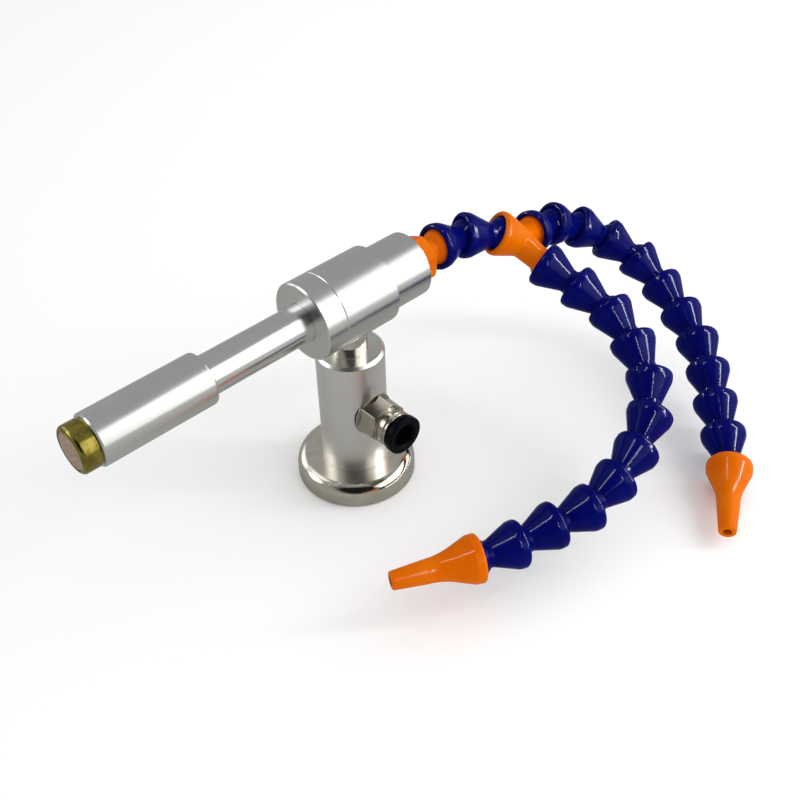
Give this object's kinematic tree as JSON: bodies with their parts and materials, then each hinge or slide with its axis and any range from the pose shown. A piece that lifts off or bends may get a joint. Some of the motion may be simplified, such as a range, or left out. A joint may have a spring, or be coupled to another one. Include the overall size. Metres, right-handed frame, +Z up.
{
  "type": "vortex tube cold-air gun",
  "caption": "Vortex tube cold-air gun on a round magnetic foot, with a push-in air inlet, a hot-end valve and a forked hose of ball-jointed links ending in round nozzles.",
  "frame": {"origin": "centre of the magnetic foot's underside, on the table", "axes": "+X along the vortex tube towards its cold end and hose, +Z up, the air inlet faces -Y"},
  "size_m": [0.3043, 0.1762, 0.1135],
  "materials": {
    "nickel": "bright nickel plate on steel or brass",
    "magnet": "plated magnet, ground flat",
    "steel": "bare steel",
    "column_alloy": "satin turned, polished top chamfer",
    "alloy": "fine turned, clear anodised",
    "polished_alloy": "polished",
    "rubber": "plain black",
    "black_plastic": "moulded, slight sheen",
    "brass": "polished",
    "sintered_bronze": "porous, matt",
    "blue_plastic": "moulded, glossy",
    "orange_plastic": "moulded, glossy"
  },
  "bodies": {
    "gun": {"base_cup": "nickel", "magnet": "magnet", "base_stud": "steel", "column": "column_alloy", "fitting_seal": "rubber", "fitting_body": "nickel", "tube_seal": "rubber", "grab_ring": "steel", "neck_nipple": "nickel", "main_body": "alloy", "hot_cap": "alloy", "cap_seal": "rubber", "vortex_generator": "brass", "cold_orifice": "steel", "hot_tube": "polished_alloy", "hot_sleeve": "alloy", "hose_connector": "orange_plastic"},
    "release_collar": {"release_collar": "black_plastic"},
    "valve_cone": {"valve_cone": "brass", "stem_clip": "steel"},
    "silencer": {"silencer_body": "brass", "silencer_disc": "sintered_bronze"},
    "trunk_1": {"trunk_1": "blue_plastic"},
    "trunk_2": {"trunk_2": "blue_plastic"},
    "hose_y": {"hose_y": "orange_plastic"},
    "front_1": {"front_1": "blue_plastic"},
    "front_2": {"front_2": "blue_plastic"},
    "front_3": {"front_3": "blue_plastic"},
    "front_4": {"front_4": "blue_plastic"},
    "front_5": {"front_5": "blue_plastic"},
    "front_6": {"front_6": "blue_plastic"},
    "front_7": {"front_7": "blue_plastic"},
    "front_8": {"front_8": "blue_plastic"},
    "front_9": {"front_9": "blue_plastic"},
    "front_10": {"front_10": "blue_plastic"},
    "front_11": {"front_11": "blue_plastic"},
    "nozzle_front": {"nozzle_front": "orange_plastic"},
    "rear_1": {"rear_1": "blue_plastic"},
    "rear_2": {"rear_2": "blue_plastic"},
    "rear_3": {"rear_3": "blue_plastic"},
    "rear_4": {"rear_4": "blue_plastic"},
    "rear_5": {"rear_5": "blue_plastic"},
    "rear_6": {"rear_6": "blue_plastic"},
    "rear_7": {"rear_7": "blue_plastic"},
    "rear_8": {"rear_8": "blue_plastic"},
    "rear_9": {"rear_9": "blue_plastic"},
    "rear_10": {"rear_10": "blue_plastic"},
    "rear_11": {"rear_11": "blue_plastic"},
    "nozzle_rear": {"nozzle_rear": "orange_plastic"}
  },
  "joints": [
    {"name": "collar_press", "type": "slide", "parent": "gun", "child": "release_collar", "axis": [0, 1, 0], "range_m": [0, 0.001], "stiffness_N_per_m": 1500, "springref_m": -0.001},
    {"name": "valve_travel", "type": "slide", "parent": "gun", "child": "valve_cone", "axis": [1, 0, 0], "range_m": [-0.002, 0.0009]},
    {"name": "valve_turn", "type": "hinge", "parent": "valve_cone", "child": "silencer", "pos_m": [-0.12, 0, 0.0965], "axis": [1, 0, 0], "range_deg": [-727, 331]},
    {"name": "ball_trunk_1", "type": "hinge", "parent": "gun", "child": "trunk_1", "pos_m": [0.054, 0, 0.0965], "axis": [0, -1, 0], "range_deg": [-12, 33]},
    {"name": "ball_trunk_2", "type": "hinge", "parent": "trunk_1", "child": "trunk_2", "pos_m": [0.07132, 0, 0.09337], "axis": [-0.1704, 0.2897, -0.9418], "range_deg": [-43, 2]},
    {"name": "ball_hose_y", "type": "hinge", "parent": "trunk_2", "child": "hose_y", "pos_m": [0.08726, -0.0058, 0.08869], "axis": [0.1684, 0.856, -0.4887], "range_deg": [-40, 5]},
    {"name": "ball_front_1", "type": "hinge", "parent": "hose_y", "child": "front_1", "pos_m": [0.09635, -0.02621, 0.07667], "axis": [0.6441, 0.4204, -0.6391], "range_deg": [-16, 29]},
    {"name": "ball_front_2", "type": "hinge", "parent": "front_1", "child": "front_2", "pos_m": [0.10062, -0.04213, 0.0705], "axis": [0.076, -0.3427, 0.9364], "range_deg": [-18, 27]},
    {"name": "ball_front_3", "type": "hinge", "parent": "front_2", "child": "front_3", "pos_m": [0.10348, -0.05836, 0.06432], "axis": [-0.2704, -0.3835, 0.8831], "range_deg": [-3, 42]},
    {"name": "ball_front_4", "type": "hinge", "parent": "front_3", "child": "front_4", "pos_m": [0.10073, -0.07398, 0.0567], "axis": [-0.1312, -0.4162, 0.8998], "range_deg": [-9, 36]},
    {"name": "ball_front_5", "type": "hinge", "parent": "front_4", "child": "front_5", "pos_m": [0.09402, -0.08836, 0.04907], "axis": [-0.269, -0.3505, 0.8971], "range_deg": [0, 45]},
    {"name": "ball_front_6", "type": "hinge", "parent": "front_5", "child": "front_6", "pos_m": [0.08187, -0.09855, 0.04144], "axis": [-0.1969, -0.4259, 0.8831], "range_deg": [-3, 42]},
    {"name": "ball_front_7", "type": "hinge", "parent": "front_6", "child": "front_7", "pos_m": [0.06639, -0.10419, 0.03527], "axis": [0.0119, -0.753, 0.6579], "range_deg": [-8, 37]},
    {"name": "ball_front_8", "type": "hinge", "parent": "front_7", "child": "front_8", "pos_m": [0.04933, -0.1072, 0.03214], "axis": [0.178, 0.0156, -0.9839], "range_deg": [-32, 13]},
    {"name": "ball_front_9", "type": "hinge", "parent": "front_8", "child": "front_9", "pos_m": [0.03201, -0.1072, 0.029], "axis": [0.1694, 0.3077, -0.9363], "range_deg": [-38, 7]},
    {"name": "ball_front_10", "type": "hinge", "parent": "front_9", "child": "front_10", "pos_m": [0.01508, -0.10266, 0.02743], "axis": [0.2588, 0.9659, 0], "range_deg": [-23, 23]},
    {"name": "ball_front_11", "type": "hinge", "parent": "front_10", "child": "front_11", "pos_m": [-0.00185, -0.09812, 0.02586], "axis": [0.2453, 0.674, -0.6968], "range_deg": [-30, 15]},
    {"name": "ball_nozzle_front", "type": "hinge", "parent": "front_11", "child": "nozzle_front", "pos_m": [-0.01839, -0.0921, 0.02586], "axis": [0, 0, -1], "range_deg": [-28, 18]},
    {"name": "ball_rear_1", "type": "hinge", "parent": "hose_y", "child": "rear_1", "pos_m": [0.11067, -0.00416, 0.07906], "axis": [-0.2421, -0.2186, -0.9453], "range_deg": [-34, 11]},
    {"name": "ball_rear_2", "type": "hinge", "parent": "rear_1", "child": "rear_2", "pos_m": [0.12758, -0.00268, 0.07439], "axis": [0.2703, -0.5092, 0.8171], "range_deg": [-1, 44]},
    {"name": "ball_rear_3", "type": "hinge", "parent": "rear_2", "child": "rear_3", "pos_m": [0.1429, -0.00679, 0.06676], "axis": [-0.2984, 0.4501, -0.8417], "range_deg": [-41, 4]},
    {"name": "ball_rear_4", "type": "hinge", "parent": "rear_3", "child": "rear_4", "pos_m": [0.15528, -0.01546, 0.05774], "axis": [-0.3525, 0.3847, -0.8531], "range_deg": [-44, 1]},
    {"name": "ball_rear_5", "type": "hinge", "parent": "rear_4", "child": "rear_5", "pos_m": [0.16284, -0.02854, 0.04871], "axis": [-0.1569, 0.4976, -0.8531], "range_deg": [-44, 1]},
    {"name": "ball_rear_6", "type": "hinge", "parent": "rear_5", "child": "rear_6", "pos_m": [0.16415, -0.0436, 0.03969], "axis": [0.4631, -0.4255, 0.7775], "range_deg": [-2, 43]},
    {"name": "ball_rear_7", "type": "hinge", "parent": "rear_6", "child": "rear_7", "pos_m": [0.15989, -0.05952, 0.03352], "axis": [0.354, -0.419, 0.8361], "range_deg": [-12, 33]},
    {"name": "ball_rear_8", "type": "hinge", "parent": "rear_7", "child": "rear_8", "pos_m": [0.15271, -0.0749, 0.02885], "axis": [-0.1332, -0.2306, 0.9639], "range_deg": [-13, 32]},
    {"name": "ball_rear_9", "type": "hinge", "parent": "rear_8", "child": "rear_9", "pos_m": [0.14298, -0.0888, 0.02417], "axis": [0.1617, 0.2107, -0.9641], "range_deg": [-27, 18]},
    {"name": "ball_rear_10", "type": "hinge", "parent": "rear_9", "child": "rear_10", "pos_m": [0.13207, -0.1018, 0.01951], "axis": [0.766, -0.6428, 0], "range_deg": [-23, 23]},
    {"name": "ball_rear_11", "type": "hinge", "parent": "rear_10", "child": "rear_11", "pos_m": [0.12117, -0.11479, 0.01483], "axis": [-0.4313, 0.603, -0.671], "range_deg": [-30, 15]},
    {"name": "ball_nozzle_rear", "type": "hinge", "parent": "rear_11", "child": "nozzle_rear", "pos_m": [0.10892, -0.12704, 0.0117], "axis": [0.2044, -0.4295, 0.8797], "range_deg": [-11, 34]}
  ],
  "couplings": [
    {"joint": "valve_turn", "follows": "valve_travel", "rad_per_m": 6283.2}
  ]
}
